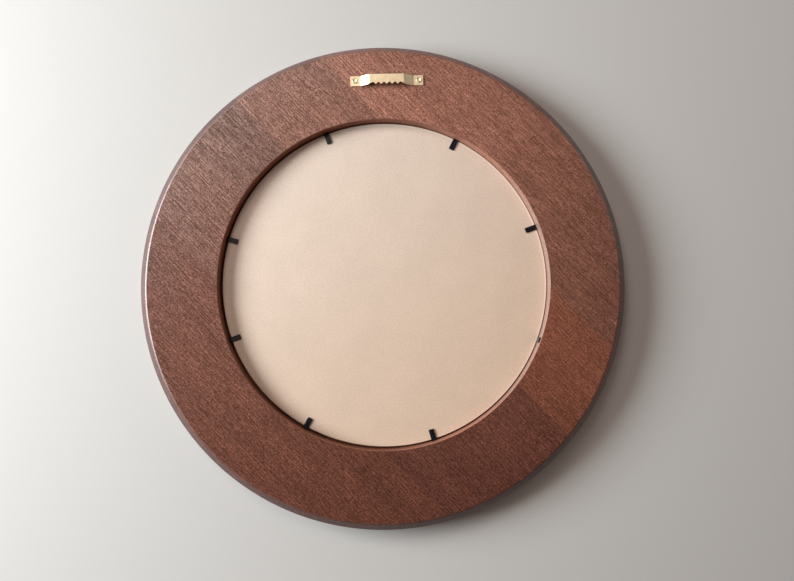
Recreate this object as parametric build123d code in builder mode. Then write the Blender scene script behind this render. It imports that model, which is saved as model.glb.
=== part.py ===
from build123d import *
import os
from math import cos, radians, sin

# Round wooden photo frame, lying on its front face with its back up, in millimetres.
# Z = 0 is the front face, +Z comes out of the back and +Y points to the hanger.
# The ring is cut from an edge-glued board, so it is several staves with one grain direction.
# A pane, a card and a backing board lie in its rebate, flexible points hold them there,
# and a sawtooth hanger is nailed to the back.

# What lies in the rebate, all cut for one size of picture
picture_diameter = 200.0
board_thickness = 3.0
board_shift = 0.7
board_shift_angle = 53.0
card_edge_inset = 0.25
card_thickness = 0.5
pane_thickness = 2.0

# Ring
rebate_clearance = 0.9
back_face_width = 47.2
lip_width = 5.9
lip_thickness = 5.6
recess_depth = 7.9
back_edge_chamfer = 4.3
rebate_edge_chamfer = 0.4
front_edge_chamfer = 2.0
sight_edge_chamfer = 2.0

# Staves: the glue lines run with the grain, at these shares of the ring's outer radius
grain_angle = -45.5
lower_joint_share = -0.479
middle_joint_share = 0.094
upper_joint_share = 0.470

# Flexible points, at their angles clockwise from the hanger
point_angles = (26.45, 69.65, 110.55, 162.4, 208.45, 249.45, 285.65, 338.7)
upright_point = 3
upright_angle = 88.0
point_width = 3.2
point_thickness = 0.5
point_reach = 6.7
point_tip_radius = 0.5
point_shank_length = 6.0
point_taper_length = 1.6
point_wall_gap = 0.3
point_board_gap = 0.3
hinge_gap = 0.05

# Sawtooth hanger
hanger_length = 45.0
hanger_height = 6.25
hanger_thickness = 0.8
hanger_rise = 3.2
hanger_pad_length = 6.4
hanger_ramp_length = 5.2
hanger_bend_radius = 2.4
hanger_corner_radius = 0.4
hanger_edge_distance = 20.2
hanger_side_shift = 1.5
hanger_skew = 1.3
notch_count = 6
notch_pitch = 3.38
notch_depth = 1.35
notch_outer_flank = 2.9
notch_root_width = 0.2

# Nails
nail_end_distance = 2.7
nail_diameter = 1.3
nail_length = 10.0
nail_tip_length = 1.8
nail_head_diameter = 3.3
nail_head_height = 0.55
nail_dimple_radius = 1.3
nail_dimple_depth = 0.22
nail_hole_clearance = 0.1

# One overrun for all cuts
cut_overrun = 1.0

# Radii and heights that follow from the sizes above
rebate_radius = picture_diameter / 2 + rebate_clearance
sight_radius = rebate_radius - lip_width
outer_radius = rebate_radius + back_face_width
pane_bottom = lip_thickness
card_bottom = pane_bottom + pane_thickness
board_bottom = card_bottom + card_thickness
board_top = board_bottom + board_thickness
back_height = board_top + recess_depth

hinge_radius = rebate_radius - point_wall_gap - point_thickness / 2
hinge_height = board_top + point_board_gap + point_thickness / 2
stub_length = point_wall_gap - hinge_gap

hanger_distance = outer_radius - hanger_edge_distance - hanger_height / 2
hanger_plane = Plane(
    origin=(hanger_side_shift, hanger_distance, back_height),
    x_dir=(cos(radians(hanger_skew)), sin(radians(hanger_skew)), 0),
    z_dir=(0, 0, 1),
)
nail_position = hanger_length / 2 - nail_end_distance

grain_plane = Plane(
    origin=(0, 0, 0),
    x_dir=(cos(radians(grain_angle)), sin(radians(grain_angle)), 0),
    z_dir=(0, 0, 1),
)

# The turned section lies across the grain, in the middle of the widest staves
section_plane = Plane(
    origin=(0, 0, 0),
    x_dir=grain_plane.y_dir,
    z_dir=grain_plane.x_dir,
)

os.makedirs("parts", exist_ok=True)


def hinge_plane(angle, lift):
    """Plane at a point's hinge: x along the leaf, y through its thickness, z along the hinge."""
    outward = Vector(sin(radians(angle)), cos(radians(angle)), 0)
    upward = Vector(0, 0, 1)
    along_leaf = outward * -cos(radians(lift)) + upward * sin(radians(lift))
    return Plane(
        origin=outward * hinge_radius + upward * hinge_height,
        x_dir=along_leaf,
        z_dir=upward.cross(outward),
    )


def shank_plane(angle):
    """Plane on the underside of a point's shank, with x pointing out into the wood."""
    outward = Vector(sin(radians(angle)), cos(radians(angle)), 0)
    upward = Vector(0, 0, 1)
    start_radius = rebate_radius - stub_length
    start_height = hinge_height - point_thickness / 2
    return Plane(
        origin=outward * start_radius + upward * start_height,
        x_dir=outward,
        z_dir=upward,
    )


def shank_corners():
    """Plan of a shank: a parallel strip with a driving point at its far end."""
    full_length = stub_length + point_shank_length
    shoulder = full_length - point_taper_length
    half_width = point_width / 2
    return (
        (0, -half_width),
        (shoulder, -half_width),
        (full_length, 0),
        (shoulder, half_width),
        (0, half_width),
    )


# Ring before it is parted into staves: turned section, slots for the shanks, nail holes
with BuildPart() as ring_blank:
    with BuildSketch(section_plane) as ring_section:
        with BuildLine():
            Polyline(
                (sight_radius, 0),
                (outer_radius, 0),
                (outer_radius, back_height),
                (rebate_radius, back_height),
                (rebate_radius, lip_thickness),
                (sight_radius, lip_thickness),
                close=True,
            )
        make_face()
        back_corners = ring_section.vertices().group_by(Axis.Y)[-1].sort_by(Axis.X)
        front_corners = ring_section.vertices().group_by(Axis.Y)[0].sort_by(Axis.X)
        chamfer(back_corners[-1], back_edge_chamfer)
        chamfer(back_corners[0], rebate_edge_chamfer)
        chamfer(front_corners[-1], front_edge_chamfer)
        chamfer(front_corners[0], sight_edge_chamfer)
    revolve(axis=Axis.Z)
    for point_angle in point_angles:
        with BuildSketch(shank_plane(point_angle)):
            Polygon(*shank_corners(), align=None)
        extrude(amount=point_thickness, mode=Mode.SUBTRACT)
    with BuildSketch(hanger_plane):
        with Locations((-nail_position, 0), (nail_position, 0)):
            Circle(nail_diameter / 2)
    extrude(amount=hanger_thickness - nail_length, mode=Mode.SUBTRACT)

# Staves: a band of the ring between two glue lines, and one side of it where the opening parts it
lower_joint = outer_radius * lower_joint_share
middle_joint = outer_radius * middle_joint_share
upper_joint = outer_radius * upper_joint_share
band_end = outer_radius + cut_overrun
stave_regions = {
    "stave_1_upper_right": (-band_end, band_end, upper_joint, band_end),
    "stave_2_upper_left": (-band_end, 0, middle_joint, upper_joint),
    "stave_2_lower_right": (0, band_end, middle_joint, upper_joint),
    "stave_3_upper_left": (-band_end, 0, lower_joint, middle_joint),
    "stave_3_lower_right": (0, band_end, lower_joint, middle_joint),
    "stave_4_lower_left": (-band_end, band_end, -band_end, lower_joint),
}
for stave_name, (grain_start, grain_end, low_side, high_side) in stave_regions.items():
    with BuildPart() as stave:
        add(ring_blank.part)
        with BuildSketch(grain_plane):
            with Locations(((grain_start + grain_end) / 2, (low_side + high_side) / 2)):
                Rectangle(grain_end - grain_start, high_side - low_side)
        extrude(amount=back_height, mode=Mode.INTERSECT)
    stave.part.label = stave_name
    export_step(stave.part, f"parts/{stave_name}.step")

# Clear pane on the lip
with BuildPart() as pane:
    with BuildSketch(Plane.XY.offset(pane_bottom)):
        Circle(picture_diameter / 2)
    extrude(amount=pane_thickness)
pane.part.label = "pane"
export_step(pane.part, "parts/pane.step")

# Blank card where the picture goes
with BuildPart() as picture_card:
    with BuildSketch(Plane.XY.offset(card_bottom)):
        Circle(picture_diameter / 2 - card_edge_inset)
    extrude(amount=card_thickness)
picture_card.part.label = "picture_card"
export_step(picture_card.part, "parts/picture_card.step")

# Backing board, pushed to one side of the rebate by its clearance
board_plane = Plane(
    origin=(
        board_shift * sin(radians(board_shift_angle)),
        board_shift * cos(radians(board_shift_angle)),
        board_bottom,
    ),
)
with BuildPart() as backing_board:
    with BuildSketch(board_plane):
        Circle(picture_diameter / 2)
    extrude(amount=board_thickness)
backing_board.part.label = "backing_board"
export_step(backing_board.part, "parts/backing_board.step")

# Flexible points: a shank in the wood, and a leaf whose round heel turns just clear of it
for index, point_angle in enumerate(point_angles, start=1):
    lift = upright_angle if index == upright_point else 0
    leaf_plane = hinge_plane(point_angle, lift)

    with BuildPart() as leaf:
        with BuildSketch(leaf_plane):
            Circle(point_thickness / 2)
            with Locations((point_reach / 2, 0)):
                Rectangle(point_reach, point_thickness)
        extrude(amount=point_width / 2, both=True)
        tip_face = leaf.faces().sort_by(Axis(leaf_plane.origin, leaf_plane.x_dir))[-1]
        tip_corners = tip_face.edges().filter_by(Axis(leaf_plane.origin, leaf_plane.y_dir))
        fillet(tip_corners, point_tip_radius)
    leaf.part.label = f"point_{index}_leaf"
    export_step(leaf.part, f"parts/point_{index}_leaf.step")

    with BuildPart() as shank:
        with BuildSketch(shank_plane(point_angle)):
            Polygon(*shank_corners(), align=None)
        extrude(amount=point_thickness)
    shank.part.label = f"point_{index}_shank"
    export_step(shank.part, f"parts/point_{index}_shank.step")

# Sawtooth hanger: a strip bent into a low bridge between two pads
pad_start = hanger_length / 2
pad_end = pad_start - hanger_pad_length
bridge_end = pad_end - hanger_ramp_length
pad_middle = hanger_thickness / 2
bridge_middle = hanger_rise + hanger_thickness / 2
side_plane = Plane(
    origin=hanger_plane.origin,
    x_dir=hanger_plane.x_dir,
    z_dir=hanger_plane.x_dir.cross(Vector(0, 0, 1)),
)
first_notch = (notch_count - 1) * notch_pitch / 2

with BuildPart() as hanger:
    with BuildSketch(side_plane):
        with BuildLine() as strip_line:
            FilletPolyline(
                (-pad_start, pad_middle),
                (-pad_end, pad_middle),
                (-bridge_end, bridge_middle),
                (bridge_end, bridge_middle),
                (pad_end, pad_middle),
                (pad_start, pad_middle),
                radius=hanger_bend_radius,
            )
        trace(line_width=hanger_thickness)
    extrude(amount=hanger_height / 2, both=True)
    pad_corners = hanger.edges().filter_by(Axis.Z)
    fillet(pad_corners, hanger_corner_radius)
    with BuildSketch(hanger_plane):
        lower_edge = -hanger_height / 2
        notch_root = lower_edge + notch_depth
        half_root = notch_root_width / 2
        half_pitch = notch_pitch / 2
        for notch in range(notch_count):
            notch_middle = notch * notch_pitch - first_notch
            left_foot = notch_middle - (notch_outer_flank if notch == 0 else half_pitch)
            right_foot = notch_middle + (notch_outer_flank if notch == notch_count - 1 else half_pitch)
            with BuildLine():
                Polyline(
                    (left_foot, lower_edge - cut_overrun),
                    (left_foot, lower_edge),
                    (notch_middle - half_root, notch_root),
                    (notch_middle + half_root, notch_root),
                    (right_foot, lower_edge),
                    (right_foot, lower_edge - cut_overrun),
                    close=True,
                )
            make_face()
    extrude(amount=hanger_rise + hanger_thickness + cut_overrun, mode=Mode.SUBTRACT)
    with BuildSketch(hanger_plane):
        with Locations((-nail_position, 0), (nail_position, 0)):
            Circle(nail_diameter / 2 + nail_hole_clearance)
    extrude(amount=hanger_thickness, mode=Mode.SUBTRACT)
hanger.part.label = "sawtooth_hanger"
export_step(hanger.part, "parts/sawtooth_hanger.step")

# Nails: a turned section with a low dimpled head that bears on the hanger's pad
for side_name, side in (("left", -1), ("right", 1)):
    nail_plane = Plane(
        origin=hanger_plane.from_local_coords((side * nail_position, 0, hanger_thickness)),
        x_dir=hanger_plane.x_dir,
        z_dir=side_plane.z_dir,
    )
    with BuildPart() as nail:
        with BuildSketch(nail_plane):
            with BuildLine():
                dimple_floor = nail_head_height - nail_dimple_depth
                head_radius = nail_head_diameter / 2
                nail_radius = nail_diameter / 2
                Polyline(
                    (0, dimple_floor),
                    (nail_dimple_radius, nail_head_height),
                    (head_radius, nail_head_height / 2),
                    (head_radius, 0),
                    (nail_radius, 0),
                    (nail_radius, nail_tip_length - nail_length),
                    (0, -nail_length),
                    close=True,
                )
            make_face()
        revolve(axis=Axis(nail_plane.origin, nail_plane.y_dir))
    nail.part.label = f"hanger_nail_{side_name}"
    export_step(nail.part, f"parts/hanger_nail_{side_name}.step")
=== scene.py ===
import math

import bmesh
import bpy
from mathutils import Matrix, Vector


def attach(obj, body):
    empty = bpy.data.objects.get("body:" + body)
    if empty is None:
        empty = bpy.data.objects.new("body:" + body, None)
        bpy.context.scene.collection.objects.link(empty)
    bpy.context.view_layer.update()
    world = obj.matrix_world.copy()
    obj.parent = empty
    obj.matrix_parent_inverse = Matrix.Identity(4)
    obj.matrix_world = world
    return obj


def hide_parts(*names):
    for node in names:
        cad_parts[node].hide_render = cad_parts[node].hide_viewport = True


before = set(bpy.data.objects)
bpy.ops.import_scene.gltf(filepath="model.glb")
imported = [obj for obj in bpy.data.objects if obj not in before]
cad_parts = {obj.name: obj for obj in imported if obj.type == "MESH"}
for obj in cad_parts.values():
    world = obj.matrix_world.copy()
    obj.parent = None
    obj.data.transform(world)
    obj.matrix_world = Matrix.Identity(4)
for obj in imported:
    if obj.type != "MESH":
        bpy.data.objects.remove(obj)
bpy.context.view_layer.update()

MM = 0.001

# Camera: above the back of the frame, a little towards its lower edge, as in the photograph
PICTURE_WIDTH = 794
FOCAL_PIXELS = 675.0
SENSOR_WIDTH = 36.0
CAMERA_PLACE = Vector((0.85, -35.92, 426.33)) * MM
CAMERA_TILT = math.radians(4.299)
CAMERA_PAN = math.radians(-0.96)

# Lamps: place, width and height in millimetres, radiance and colour
LAMPS = {
    "window_panel": ((-872, 98, 491), 690, 500, 20.5, (0.92, 1.0, 1.0)),
    "sky_panel": ((-323, 560, 890), 410, 410, 5.4, (1.0, 0.90, 0.80)),
    "top_panel": ((-272, 276, 1449), 900, 900, 1.1, (1.0, 0.86, 0.78)),
    "fill_panel": ((775, 455, 374), 500, 500, 0.85, (1.0, 1.0, 1.0)),
}
WORLD_COLOUR = (1.0, 0.72, 0.55, 1)
WORLD_STRENGTH = 0.1

# Floor: half its side in metres, and its colour
FLOOR_REACH = 6.0
FLOOR_COLOUR = (0.545, 0.52, 0.515, 1)

# Ring section, radii and heights in millimetres
SIGHT_RADIUS = 95.0
REBATE_RADIUS = 100.9
OUTER_RADIUS = 148.1
LIP_TOP = 5.6
BACK_HEIGHT = 19.0
BACK_CHAMFER = 4.3
FRONT_CHAMFER = 2.0
CHAMFER_START = OUTER_RADIUS - BACK_CHAMFER
TURN_STEPS = 360

# Staves: the grain and the glue lines run on one diagonal
GRAIN_ANGLE = math.radians(-45.5)
FURROW_PITCH = 1.6
LOWER_JOINT = -0.479 * OUTER_RADIUS
MIDDLE_JOINT = 0.094 * OUTER_RADIUS
UPPER_JOINT = 0.470 * OUTER_RADIUS

# Sheets in the rebate: radius, bottom, top and easing of the edges
PANE = (100.0, 5.63, 7.55, 0.3)
CARD = (99.75, 7.6, 8.1, 0.08)
BOARD = (100.0, 8.1, 11.1, 0.4)
BOARD_SHIFT = (0.559, 0.421)

# Hanger: its middle, its slant, and the places of its nails along it
HANGER_MIDDLE = (1.5, 124.775)
HANGER_SKEW = math.radians(1.3)
HANGER_PAD_TOP = 19.8
NAIL_DISTANCE = 19.8
BEND_ROUNDING = 1.3
STRIP_EASING = 0.12

# Nail, upright with z = 0 under its head: from its point over its rolled rim into its dimple
NAIL_SECTION = (
    (0, -10.0),
    (0.65, -8.2),
    (0.65, 0),
    (1.62, 0),
    (1.66, 0.18),
    (1.60, 0.38),
    (1.46, 0.52),
    (1.30, 0.56),
    (1.14, 0.50),
    (0.98, 0.36),
    (0.70, 0.24),
    (0.35, 0.19),
    (0, 0.18),
)
NAIL_STEPS = 48

POINT_COUNT = 8
LEAF_EASING = 0.1
SHARP_ANGLE = math.radians(32)

# Finishes, some with painted light laid over them: pairs run from the darker to the lighter tone
STAIN_ON_WALL_TOP = (0.26, 0.10, 0.062, 1)
# painted light: the wall's stain made paler at its upper right and palest at its right, where the wall
# faces the window lamp
WALL_PAINTED_LIGHT_UPPER_RIGHT = (0.375, 0.165, 0.115, 1)
WALL_PAINTED_LIGHT_RIGHT = (0.36, 0.215, 0.18, 1)
# the chamfer's darker stain, with a painted bluish grey sheen over it
CHAMFER_STAIN_AND_PAINTED_SHEEN = (0.72, 0.86, 1.15, 1)
# painted highlight on the rounded edge at the top of the chamfer, on the side towards the window lamp
EDGE_PAINTED_HIGHLIGHT = (1.45, 2.05, 2.4, 1)
BOARD_TONES = (0.62, 0.47, 0.382, 1), (0.75, 0.57, 0.467, 1)
# painted sheen on the board: paler and bluer towards the upper left, where the lamps stand
BOARD_PAINTED_SHEEN = (0.975, 0.94, 0.885, 1), (0.99, 1.04, 1.09, 1)
BOARD_PALE_RIM = (0.86, 0.76, 0.64, 1)
BRASS_TONES = (0.80, 0.67, 0.46, 1), (0.90, 0.76, 0.54, 1)
LACQUER_TONES = (0.004, 0.005, 0.008, 1), (0.010, 0.013, 0.020, 1)
CARD_TONES = (0.80, 0.79, 0.75, 1), (0.86, 0.85, 0.81, 1)
GLASS_COLOUR = (0.97, 0.99, 0.985, 1)


def make_camera():
    data = bpy.data.cameras.new("camera")
    data.sensor_width = SENSOR_WIDTH
    data.lens = FOCAL_PIXELS / PICTURE_WIDTH * SENSOR_WIDTH
    data.clip_start = 0.01
    camera = bpy.data.objects.new("camera", data)
    camera.rotation_mode = "YXZ"
    camera.rotation_euler = (CAMERA_TILT, CAMERA_PAN, 0)
    camera.location = CAMERA_PLACE
    bpy.context.scene.collection.objects.link(camera)
    bpy.context.scene.camera = camera


def panel_lamp(name, place, width, height, radiance, colour):
    """A soft oval panel that faces the middle of the frame. Places are in millimetres."""
    data = bpy.data.lights.new(name, "AREA")
    data.shape = "ELLIPSE"
    data.size = width * MM
    data.size_y = height * MM
    data.energy = radiance * data.size * data.size_y * math.pi * math.pi / 4
    data.color = colour
    lamp = bpy.data.objects.new(name, data)
    lamp.location = Vector(place) * MM
    lamp.rotation_mode = "QUATERNION"
    lamp.rotation_quaternion = lamp.location.to_track_quat("Z", "Y")
    bpy.context.scene.collection.objects.link(lamp)


def light_studio():
    for name, values in LAMPS.items():
        panel_lamp(name, *values)
    world = bpy.data.worlds.new("studio")
    world.use_nodes = True
    background = world.node_tree.nodes["Background"]
    background.inputs["Color"].default_value = WORLD_COLOUR
    background.inputs["Strength"].default_value = WORLD_STRENGTH
    bpy.context.scene.world = world
    bpy.context.scene.view_settings.view_transform = "Standard"


# Node helpers

def new_material(name):
    """A material with its tree and its main shader."""
    material = bpy.data.materials.new(name)
    material.use_nodes = True
    tree = material.node_tree
    return material, tree, tree.nodes["Principled BSDF"]


def add_node(tree, kind, settings=None, inputs=None):
    """A node with its settings made, and each input either set or linked."""
    made = tree.nodes.new(kind)
    for name, value in (settings or {}).items():
        setattr(made, name, value)
    for name, value in (inputs or {}).items():
        if isinstance(value, bpy.types.NodeSocket):
            tree.links.new(value, made.inputs[name])
        else:
            made.inputs[name].default_value = value
    return made


def object_place(tree, turn=0.0, shift=(0.0, 0.0, 0.0)):
    """The place on the object in millimetres, turned so that x runs along the grain."""
    coordinate = add_node(tree, "ShaderNodeTexCoord")
    mapping = add_node(
        tree,
        "ShaderNodeMapping",
        {"vector_type": "TEXTURE"},
        {
            "Vector": coordinate.outputs["Object"],
            "Location": shift,
            "Rotation": (0, 0, turn),
            "Scale": (MM, MM, MM),
        },
    )
    return mapping.outputs["Vector"]


def stretched_noise(tree, place, size, detail=2.0, roughness=0.5, distortion=0.0):
    """Noise whose cells have the given size in millimetres along each direction."""
    scaled = add_node(
        tree,
        "ShaderNodeVectorMath",
        {"operation": "DIVIDE"},
        {0: place, 1: size},
    )
    noise = add_node(
        tree,
        "ShaderNodeTexNoise",
        None,
        {
            "Vector": scaled.outputs["Vector"],
            "Scale": 1.0,
            "Detail": detail,
            "Roughness": roughness,
            "Distortion": distortion,
        },
    )
    return noise.outputs["Fac"]


def remap(tree, value, low, high, new_low, new_high, smooth=False):
    """Maps a value from one range to another, and holds it there."""
    mapped = add_node(
        tree,
        "ShaderNodeMapRange",
        {"clamp": True, "interpolation_type": "SMOOTHSTEP" if smooth else "LINEAR"},
        {"Value": value, "From Min": low, "From Max": high, "To Min": new_low, "To Max": new_high},
    )
    return mapped.outputs["Result"]


def calculate(tree, operation, first, second=0.0):
    """The result of a sum on one or two values."""
    made = add_node(tree, "ShaderNodeMath", {"operation": operation}, {0: first, 1: second})
    return made.outputs["Value"]


def product(tree, *values):
    """All the values multiplied."""
    total = values[0]
    for value in values[1:]:
        total = calculate(tree, "MULTIPLY", total, value)
    return total


def mix_colour(tree, factor, first, second, blend="MIX"):
    """Mixes two colours. The node's colour sockets are its inputs 6 and 7 and its output 2."""
    mixed = add_node(
        tree,
        "ShaderNodeMix",
        {"data_type": "RGBA", "blend_type": blend},
        {"Factor": factor},
    )
    for socket, value in ((mixed.inputs[6], first), (mixed.inputs[7], second)):
        if isinstance(value, bpy.types.NodeSocket):
            tree.links.new(value, socket)
        else:
            socket.default_value = value
    return mixed.outputs[2]


def grey(tree, value):
    """A colour with the same value in all channels."""
    channels = {"Red": value, "Green": value, "Blue": value}
    made = add_node(tree, "ShaderNodeCombineColor", None, channels)
    return made.outputs["Color"]


def set_bump(tree, shader, height, strength, distance):
    """Gives the shader a relief. The distance is in metres."""
    bump = add_node(
        tree,
        "ShaderNodeBump",
        None,
        {"Strength": strength, "Distance": distance, "Height": height},
    )
    tree.links.new(bump.outputs["Normal"], shader.inputs["Normal"])


def axis_distance(tree, place):
    """Distance from the axis of the ring, in millimetres."""
    flat = add_node(
        tree,
        "ShaderNodeVectorMath",
        {"operation": "MULTIPLY"},
        {0: place, 1: (1, 1, 0)},
    )
    length = add_node(
        tree,
        "ShaderNodeVectorMath",
        {"operation": "LENGTH"},
        {0: flat.outputs["Vector"]},
    )
    return length.outputs["Value"]


def way_towards(tree, azimuth):
    """How far from the middle a place is towards an azimuth, in millimetres.

    The azimuth is in degrees, clockwise from +Y."""
    way = (math.sin(math.radians(azimuth)), math.cos(math.radians(azimuth)), 0)
    dot = add_node(
        tree,
        "ShaderNodeVectorMath",
        {"operation": "DOT_PRODUCT"},
        {0: object_place(tree), 1: way},
    )
    return dot.outputs["Value"]


def wavy_furrows(tree, place, centred_y):
    """Shallow waves of light and dark across the grain, stronger in patches."""
    sway = stretched_noise(tree, place, (22, 5, 8), 1.0)
    run = product(tree, centred_y, math.tau / FURROW_PITCH)
    turns = calculate(tree, "ADD", run, product(tree, sway, 14))
    patches = stretched_noise(tree, place, (9, 6, 8), 1.0)
    depth = remap(tree, patches, 0.4, 0.65, 0.02, 0.28)
    return calculate(tree, "ADD", product(tree, calculate(tree, "SINE", turns), depth), 1.0)


def cut_wall_colour(tree, rightward, side, stain_figure):
    """Colour of the turned wall of the rebate: its stain, darkest at the top and on the left, with
    painted light making it paler towards the upper right and palest at the right, where it faces the
    window lamp.
    """
    # painted light: paler from the top towards the upper right, palest at the right, where the wall
    # faces the window lamp
    turning = remap(tree, rightward, 5, 48, 0.0, 1.0, True)
    warm_tone = mix_colour(tree, turning, STAIN_ON_WALL_TOP, WALL_PAINTED_LIGHT_UPPER_RIGHT)
    cut_tone = mix_colour(tree, side, warm_tone, WALL_PAINTED_LIGHT_RIGHT)
    cut_figure = calculate(tree, "ADD", product(tree, stain_figure, 0.4), 0.6)
    return mix_colour(tree, 1.0, cut_tone, grey(tree, cut_figure), "MULTIPLY")


def stained_wood(name, seed, tone, across, painted_shade_along):
    """Satin brown stain on open-pored wood, with its grain along the staves, and painted light and shade
    laid over it in places.

    Across gives two places across the grain and how light the stave is at each.
    The last argument is painted shade along the grain: how light the stave is at its upper left, towards
    the lamps, and at its lower right."""
    material, tree, shader = new_material(name)
    centred = object_place(tree, GRAIN_ANGLE)
    own_part = (311 * seed, 173 * seed, 57 * seed)
    place = add_node(
        tree,
        "ShaderNodeVectorMath",
        {"operation": "ADD"},
        {0: centred, 1: own_part},
    ).outputs["Vector"]

    # the figure, from its broadest to its finest marks
    bands = stretched_noise(tree, place, (160, 9, 14), 2.0, 0.6)
    blotches = stretched_noise(tree, place, (24, 14, 16), 2.0)
    rays = stretched_noise(tree, place, (30, 0.8, 1.3), 0.0)
    dashes = stretched_noise(tree, place, (5.0, 0.62, 0.9), 0.0)
    specks = stretched_noise(tree, place, (1.3, 0.38, 0.5), 0.0)
    fibres = stretched_noise(tree, place, (11, 0.17, 0.4), 0.0)
    pores = stretched_noise(tree, place, (3.2, 0.34, 0.5), 0.0)
    centred_parts = add_node(tree, "ShaderNodeSeparateXYZ", None, {"Vector": centred})
    figure = product(
        tree,
        remap(tree, rays, 0.2, 0.8, 0.72, 1.28),
        remap(tree, dashes, 0.2, 0.8, 0.5, 1.5),
        remap(tree, specks, 0.2, 0.8, 0.0, 2.0),
        remap(tree, fibres, 0.2, 0.8, 0.6, 1.4),
        remap(tree, pores, 0.58, 0.68, 1.05, 0.4, True),
        wavy_furrows(tree, place, centred_parts.outputs["Y"]),
    )
    stain_figure = calculate(tree, "ADD", product(tree, figure, 0.58), 0.42)

    # the flat back
    radius = axis_distance(tree, centred)
    lightness = product(
        tree,
        remap(tree, centred_parts.outputs["Y"], *across),
        # painted shade: each stave darker along the grain away from the lamps, towards its lower right
        # end
        remap(tree, centred_parts.outputs["X"], -90, 90, *painted_shade_along, True),
        # painted sheen: the back lighter towards the rebate and darker towards the chamfer, standing in
        # for the sheen of the lamps overhead
        remap(tree, radius, REBATE_RADIUS, CHAMFER_START, 1.06, 0.94),
        remap(tree, bands, 0.3, 0.7, 0.93, 1.07, True),
        remap(tree, blotches, 0.3, 0.7, 0.95, 1.05, True),
        stain_figure,
    )
    colour = mix_colour(tree, 1.0, (*tone, 1), grey(tree, lightness), "MULTIPLY")

    # the wall of the rebate, paler on its right side through painted light, the outer chamfer with the
    # rim under a painted sheen, and the rounded edge between with a painted highlight on the side
    # towards the window lamp
    wall = remap(tree, radius, REBATE_RADIUS + 0.1, REBATE_RADIUS + 0.4, 1.0, 0.0, True)
    rightward = way_towards(tree, 95)
    # painted light: this mask picks out the right side of the wall, which faces the window lamp, for its
    # paler colour and higher gloss
    side = remap(tree, rightward, 55, 100, 0.0, 1.0, True)
    colour = mix_colour(tree, wall, colour, cut_wall_colour(tree, rightward, side, stain_figure))
    rim = remap(tree, radius, CHAMFER_START - 0.2, CHAMFER_START + 0.5, 0.0, 1.0, True)
    # the chamfer's darker stain, with a painted bluish grey sheen that lifts its blue
    rim_colour = mix_colour(tree, 1.0, colour, CHAMFER_STAIN_AND_PAINTED_SHEEN, "MULTIPLY")
    colour = mix_colour(tree, rim, colour, rim_colour)
    edge = product(
        tree,
        remap(tree, radius, CHAMFER_START - 0.75, CHAMFER_START - 0.45, 0.0, 1.0, True),
        remap(tree, radius, CHAMFER_START + 0.2, CHAMFER_START + 0.5, 1.0, 0.0, True),
    )
    # painted highlight: the rounded edge much lighter on the side towards the window lamp, where it
    # mirrors the lamp
    edge_highlight_colour = mix_colour(tree, 1.0, colour, EDGE_PAINTED_HIGHLIGHT, "MULTIPLY")
    edge_highlight_side = remap(tree, way_towards(tree, 285), 95, 125, 0.15, 1.0, True)
    colour = mix_colour(tree, product(tree, edge, edge_highlight_side), colour, edge_highlight_colour)
    tree.links.new(colour, shader.inputs["Base Color"])

    # the satin sheen, drawn out across the grain on the flat back
    rim_or_edge = calculate(tree, "MAXIMUM", rim, edge)
    satin = remap(tree, dashes, 0.3, 0.7, 0.41, 0.35)
    edge_satin = calculate(tree, "SUBTRACT", satin, product(tree, edge, 0.01))
    roughness = calculate(tree, "ADD", edge_satin, product(tree, rim, 0.1))
    tree.links.new(roughness, shader.inputs["Roughness"])
    polish = calculate(tree, "MAXIMUM", product(tree, wall, side, 0.5), rim_or_edge)
    figure_gloss = remap(tree, figure, 0.5, 1.4, 0.2, 1.0)
    gloss = product(tree, figure_gloss, remap(tree, wall, 0.0, 1.0, 1.0, 0.3))
    tree.links.new(calculate(tree, "MAXIMUM", gloss, polish), shader.inputs["Specular IOR Level"])
    stretch = remap(tree, rim_or_edge, 0.0, 1.0, 0.68, 0.0)
    tree.links.new(stretch, shader.inputs["Anisotropic"])
    across_way = {"X": -math.sin(GRAIN_ANGLE), "Y": math.cos(GRAIN_ANGLE)}
    tangent = add_node(tree, "ShaderNodeCombineXYZ", None, across_way)
    tree.links.new(tangent.outputs["Vector"], shader.inputs["Tangent"])
    open_pores = remap(tree, pores, 0.58, 0.70, 0, 1)
    relief = calculate(tree, "SUBTRACT", product(tree, dashes, 0.5), open_pores)
    set_bump(tree, shader, relief, 0.5, 0.00004)
    return material


def fibreboard(name):
    """Smooth tan backing board with fine fibres, a paler rim, and painted sheen making it paler and
    bluer towards the lamps.
    """
    material, tree, shader = new_material(name)
    place = object_place(tree)
    fine = stretched_noise(tree, place, (1.1, 1.1, 1.1), 3.0, 0.6)
    broad = stretched_noise(tree, place, (20, 20, 20), 3.0, 0.6)
    tone = mix_colour(tree, remap(tree, fine, 0.25, 0.75, 0.0, 1.0), *BOARD_TONES)
    shade = remap(tree, broad, 0.25, 0.75, 0.96, 1.04)
    colour = mix_colour(tree, 1.0, tone, grey(tree, shade), "MULTIPLY")
    # painted sheen: the board paler and bluer towards the upper left, where the lamps stand
    sheen_side = remap(tree, way_towards(tree, 330), -85, 85, 0.0, 1.0)
    painted_sheen_tone = mix_colour(tree, sheen_side, *BOARD_PAINTED_SHEEN)
    colour = mix_colour(tree, 1.0, colour, painted_sheen_tone, "MULTIPLY")
    rim = remap(tree, axis_distance(tree, place), 99.0, 99.7, 0.0, 0.5, True)
    colour = mix_colour(tree, rim, colour, BOARD_PALE_RIM)
    tree.links.new(colour, shader.inputs["Base Color"])
    shader.inputs["Roughness"].default_value = 0.42
    shader.inputs["Specular IOR Level"].default_value = 0.65
    set_bump(tree, shader, fine, 0.2, 0.0001)
    return material


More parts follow.
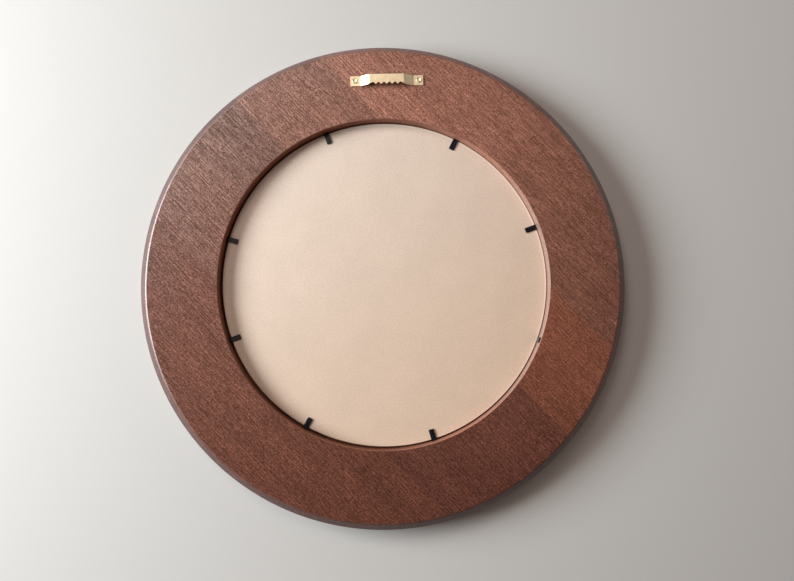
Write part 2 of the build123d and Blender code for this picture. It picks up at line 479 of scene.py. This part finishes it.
def plated_brass(name, roughness):
    """Pale brass plating with faint rolling marks."""
    material, tree, shader = new_material(name)
    place = object_place(tree)
    marks = stretched_noise(tree, place, (4.0, 0.3, 0.3), 2.0)
    wear = stretched_noise(tree, place, (3, 3, 3), 3.0)
    colour = mix_colour(tree, remap(tree, wear, 0.3, 0.7, 0.0, 1.0, True), *BRASS_TONES)
    tree.links.new(colour, shader.inputs["Base Color"])
    shader.inputs["Metallic"].default_value = 1.0
    marked = remap(tree, marks, 0.3, 0.7, roughness, roughness + 0.08)
    tree.links.new(marked, shader.inputs["Roughness"])
    return material


def black_steel(name):
    """Black lacquer on soft steel strip."""
    material, tree, shader = new_material(name)
    place = object_place(tree)
    wear = stretched_noise(tree, place, (1.2, 1.2, 1.2), 3.0)
    colour = mix_colour(tree, remap(tree, wear, 0.35, 0.7, 0.0, 1.0, True), *LACQUER_TONES)
    tree.links.new(colour, shader.inputs["Base Color"])
    tree.links.new(remap(tree, wear, 0.3, 0.7, 0.17, 0.27), shader.inputs["Roughness"])
    shader.inputs["Specular IOR Level"].default_value = 0.22
    return material


def clear_pane(name):
    """Clear glass sheet."""
    material, tree, shader = new_material(name)
    place = object_place(tree)
    ripple = stretched_noise(tree, place, (50, 50, 50), 1.0)
    set_bump(tree, shader, ripple, 0.05, 0.0001)
    shader.inputs["Base Color"].default_value = GLASS_COLOUR
    shader.inputs["Roughness"].default_value = 0.02
    shader.inputs["Transmission Weight"].default_value = 1.0
    shader.inputs["IOR"].default_value = 1.5
    return material


def white_card(name):
    """Uncoated card with a faint tooth."""
    material, tree, shader = new_material(name)
    place = object_place(tree)
    tooth = stretched_noise(tree, place, (0.9, 0.9, 0.9), 3.0)
    colour = mix_colour(tree, remap(tree, tooth, 0.3, 0.7, 0.0, 1.0), *CARD_TONES)
    tree.links.new(colour, shader.inputs["Base Color"])
    shader.inputs["Roughness"].default_value = 0.8
    return material


# Piece helpers

def new_piece(name, shape, material, body, slot, *nodes):
    """Makes a piece from a shape in millimetres, and lets it stand for its CAD nodes."""
    data = bpy.data.meshes.new(name)
    bmesh.ops.scale(shape, vec=(MM, MM, MM), verts=shape.verts)
    for face in shape.faces:
        face.smooth = True
    for edge in shape.edges:
        edge.smooth = not edge.is_manifold or edge.calc_face_angle() < SHARP_ANGLE
    shape.to_mesh(data)
    shape.free()
    data.materials.append(material)
    piece = bpy.data.objects.new(name, data)
    bpy.context.scene.collection.objects.link(piece)
    even = piece.modifiers.new("even_shading", "WEIGHTED_NORMAL")
    even.weight = 100
    even.keep_sharp = True
    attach(piece, body)
    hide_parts(*nodes)


def turned_section(section, roundings, steps, closed=True):
    """Turns a section, given as radius and height, about Z and rounds its corners."""
    shape = bmesh.new()
    corners = [shape.verts.new((radius, 0, height)) for radius, height in section]
    followers = corners[1:] + corners[:1] if closed else corners[1:]
    edges = [shape.edges.new(ends) for ends in zip(corners, followers)]
    bmesh.ops.spin(
        shape,
        geom=corners + edges,
        cent=(0, 0, 0),
        axis=(0, 0, 1),
        angle=math.tau,
        steps=steps,
        use_merge=True,
    )
    bmesh.ops.remove_doubles(shape, verts=shape.verts, dist=1e-4)
    bmesh.ops.recalc_face_normals(shape, faces=shape.faces)
    for (radius, height), rounding in zip(section, roundings):
        if rounding == 0:
            continue
        circle = [
            edge
            for edge in shape.edges
            if all(
                abs(math.hypot(vert.co.x, vert.co.y) - radius) < 1e-3 and abs(vert.co.z - height) < 1e-3
                for vert in edge.verts
            )
        ]
        bmesh.ops.bevel(
            shape,
            geom=circle,
            offset=rounding,
            offset_type="OFFSET",
            affect="EDGES",
            segments=4,
            profile=0.5,
            material=-1,
        )
    return shape


def ring_shape():
    """The whole ring, before the glue lines part it."""
    section = (
        (SIGHT_RADIUS, FRONT_CHAMFER),
        (SIGHT_RADIUS + FRONT_CHAMFER, 0),
        (OUTER_RADIUS - FRONT_CHAMFER, 0),
        (OUTER_RADIUS, FRONT_CHAMFER),
        (OUTER_RADIUS, BACK_HEIGHT - BACK_CHAMFER),
        (OUTER_RADIUS - BACK_CHAMFER, BACK_HEIGHT),
        (REBATE_RADIUS, BACK_HEIGHT),
        (REBATE_RADIUS, LIP_TOP),
        (SIGHT_RADIUS, LIP_TOP),
    )
    roundings = (0.8, 0.8, 0.8, 0.8, 0.6, 0.9, 0.3, 0, 0.4)
    return turned_section(section, roundings, TURN_STEPS)


def sheet_shape(radius, bottom, top, easing):
    """A round sheet with eased edges."""
    section = ((0, bottom), (radius, bottom), (radius, top), (0, top))
    return turned_section(section, (0, easing, easing, 0), TURN_STEPS, closed=False)


def nail_shape():
    """A nail with a low rolled rim round its dimple."""
    unrounded = (0,) * len(NAIL_SECTION)
    return turned_section(NAIL_SECTION, unrounded, NAIL_STEPS, closed=False)


def carried_shape(node_name):
    """The mesh of a CAD solid in millimetres, merged and without the seams of its flat faces."""
    shape = bmesh.new()
    shape.from_mesh(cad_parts[node_name].data)
    bmesh.ops.scale(shape, vec=(1 / MM, 1 / MM, 1 / MM), verts=shape.verts)
    bmesh.ops.remove_doubles(shape, verts=shape.verts, dist=1e-3)
    bmesh.ops.dissolve_limit(shape, angle_limit=math.radians(1), verts=shape.verts, edges=shape.edges)
    bmesh.ops.recalc_face_normals(shape, faces=shape.faces)
    return shape


def ease_edges(shape, width):
    """Rounds the sharp edges of a shape a little."""
    bmesh.ops.bevel(
        shape,
        geom=[edge for edge in shape.edges if edge.is_manifold and edge.calc_face_angle() > SHARP_ANGLE],
        offset=width,
        offset_type="OFFSET",
        affect="EDGES",
        segments=2,
        profile=0.5,
        material=-1,
        clamp_overlap=True,
    )


def round_bends(shape, radius):
    """Rounds the bends that run across a strip."""
    bends = [
        edge
        for edge in shape.edges
        if edge.is_manifold
        and edge.calc_face_angle() > math.radians(5)
        and all(abs(face.normal.z) > 0.5 for face in edge.link_faces)
    ]
    bmesh.ops.bevel(
        shape,
        geom=bends,
        offset=radius,
        offset_type="OFFSET",
        affect="EDGES",
        segments=6,
        profile=0.5,
        material=-1,
        clamp_overlap=True,
    )


def cut_flat(shape, place, outward):
    """Cuts the shape at a plane, takes away what lies outward of it and closes the cut."""
    cut = bmesh.ops.bisect_plane(
        shape,
        geom=shape.verts[:] + shape.edges[:] + shape.faces[:],
        dist=1e-5,
        plane_co=place,
        plane_no=outward,
        clear_outer=True,
    )
    cut_edges = [item for item in cut["geom_cut"] if isinstance(item, bmesh.types.BMEdge)]
    if cut_edges:
        bmesh.ops.holes_fill(shape, edges=cut_edges, sides=0)


along_grain = Vector((math.cos(GRAIN_ANGLE), math.sin(GRAIN_ANGLE), 0))
across_grain = Vector((-math.sin(GRAIN_ANGLE), math.cos(GRAIN_ANGLE), 0))

# For each stave: its low and high glue line across the grain, which side of the opening it is on
# along the grain, the seed of its figure, its tone, how light it is at two places across the grain,
# and its painted shade along the grain: how light it is at its upper left end, towards the lamps, and at
# its lower right end
STAVES = {
    "stave_1_upper_right": (
        (UPPER_JOINT, None, 0), 1, (0.253, 0.098, 0.065), (UPPER_JOINT, 110, 1.0, 1.04), (1.1, 0.74),
    ),
    "stave_2_upper_left": (
        (MIDDLE_JOINT, UPPER_JOINT, -1), 2, (0.214, 0.084, 0.056), (25, 62, 1.0, 1.0), (1.0, 1.0),
    ),
    "stave_2_lower_right": (
        (MIDDLE_JOINT, UPPER_JOINT, 1), 3, (0.204, 0.067, 0.039), (14, 70, 0.94, 1.12), (1.0, 1.0),
    ),
    "stave_3_upper_left": (
        (LOWER_JOINT, MIDDLE_JOINT, -1), 4, (0.158, 0.062, 0.043), (-30, 5, 1.06, 0.88), (1.0, 1.0),
    ),
    "stave_3_lower_right": (
        (LOWER_JOINT, MIDDLE_JOINT, 1), 5, (0.129, 0.043, 0.029), (-70, -10, 0.95, 1.05), (1.0, 0.96),
    ),
    "stave_4_lower_left": (
        (None, LOWER_JOINT, 0), 6, (0.136, 0.046, 0.029), (-120, LOWER_JOINT, 1.1, 1.0), (1.02, 0.90),
    ),
}


def make_staves():
    whole = ring_shape()
    for node, ((low, high, side), seed, tone, across, painted_shade_along) in STAVES.items():
        shape = whole.copy()
        if low is not None:
            cut_flat(shape, across_grain * low, -across_grain)
        if high is not None:
            cut_flat(shape, across_grain * high, across_grain)
        if side:
            cut_flat(shape, (0, 0, 0), along_grain * -side)
        material = stained_wood(f"{node}_wood", seed, tone, across, painted_shade_along)
        new_piece(f"{node}_shaped", shape, material, "frame", "stained_wood", node)
    whole.free()


def make_sheets():
    pane = sheet_shape(*PANE)
    new_piece("pane_sheet", pane, clear_pane("pane_glass"), "frame", "clear_pane", "pane")
    card = sheet_shape(*CARD)
    new_piece("card_sheet", card, white_card("blank_card"), "frame", "white_card", "picture_card")
    board = sheet_shape(*BOARD)
    bmesh.ops.translate(board, vec=(*BOARD_SHIFT, 0), verts=board.verts)
    board_finish = fibreboard("backing_fibreboard")
    new_piece("board_sheet", board, board_finish, "frame", "fibreboard", "backing_board")


def make_hanger():
    finish = plated_brass("hanger_brass", 0.46)
    nail_finish = plated_brass("nail_brass", 0.56)
    strip = carried_shape("sawtooth_hanger")
    round_bends(strip, BEND_ROUNDING)
    ease_edges(strip, STRIP_EASING)
    new_piece("hanger_strip", strip, finish, "frame", "brass_strip", "sawtooth_hanger")
    for side_name, side in (("left", -1), ("right", 1)):
        nail = nail_shape()
        place = (
            HANGER_MIDDLE[0] + side * NAIL_DISTANCE * math.cos(HANGER_SKEW),
            HANGER_MIDDLE[1] + side * NAIL_DISTANCE * math.sin(HANGER_SKEW),
            HANGER_PAD_TOP,
        )
        bmesh.ops.translate(nail, vec=place, verts=nail.verts)
        node = f"hanger_nail_{side_name}"
        new_piece(f"{node}_turned", nail, nail_finish, "frame", "brass_nail", node)


def finish_node(node_name, material):
    """Gives a carried-over solid its material."""
    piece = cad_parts[node_name]
    piece.data.materials.clear()
    piece.data.materials.append(material)


def make_points():
    finish = black_steel("point_steel")
    for number in range(1, POINT_COUNT + 1):
        node = f"point_{number}_leaf"
        leaf = carried_shape(node)
        ease_edges(leaf, LEAF_EASING)
        new_piece(f"{node}_strip", leaf, finish, f"point_{number}", "black_steel", node)
        finish_node(f"point_{number}_shank", finish)


def lay_floor():
    data = bpy.data.meshes.new("floor")
    signs = ((-1, -1), (1, -1), (1, 1), (-1, 1))
    corners = [(x * FLOOR_REACH, y * FLOOR_REACH, 0) for x, y in signs]
    data.from_pydata(corners, [], [(0, 1, 2, 3)])
    floor = bpy.data.objects.new("floor", data)
    bpy.context.scene.collection.objects.link(floor)
    material, _, shader = new_material("pale_floor")
    shader.inputs["Base Color"].default_value = FLOOR_COLOUR
    shader.inputs["Roughness"].default_value = 0.9
    data.materials.append(material)


make_camera()
light_studio()
lay_floor()
make_staves()
make_sheets()
make_hanger()
make_points()
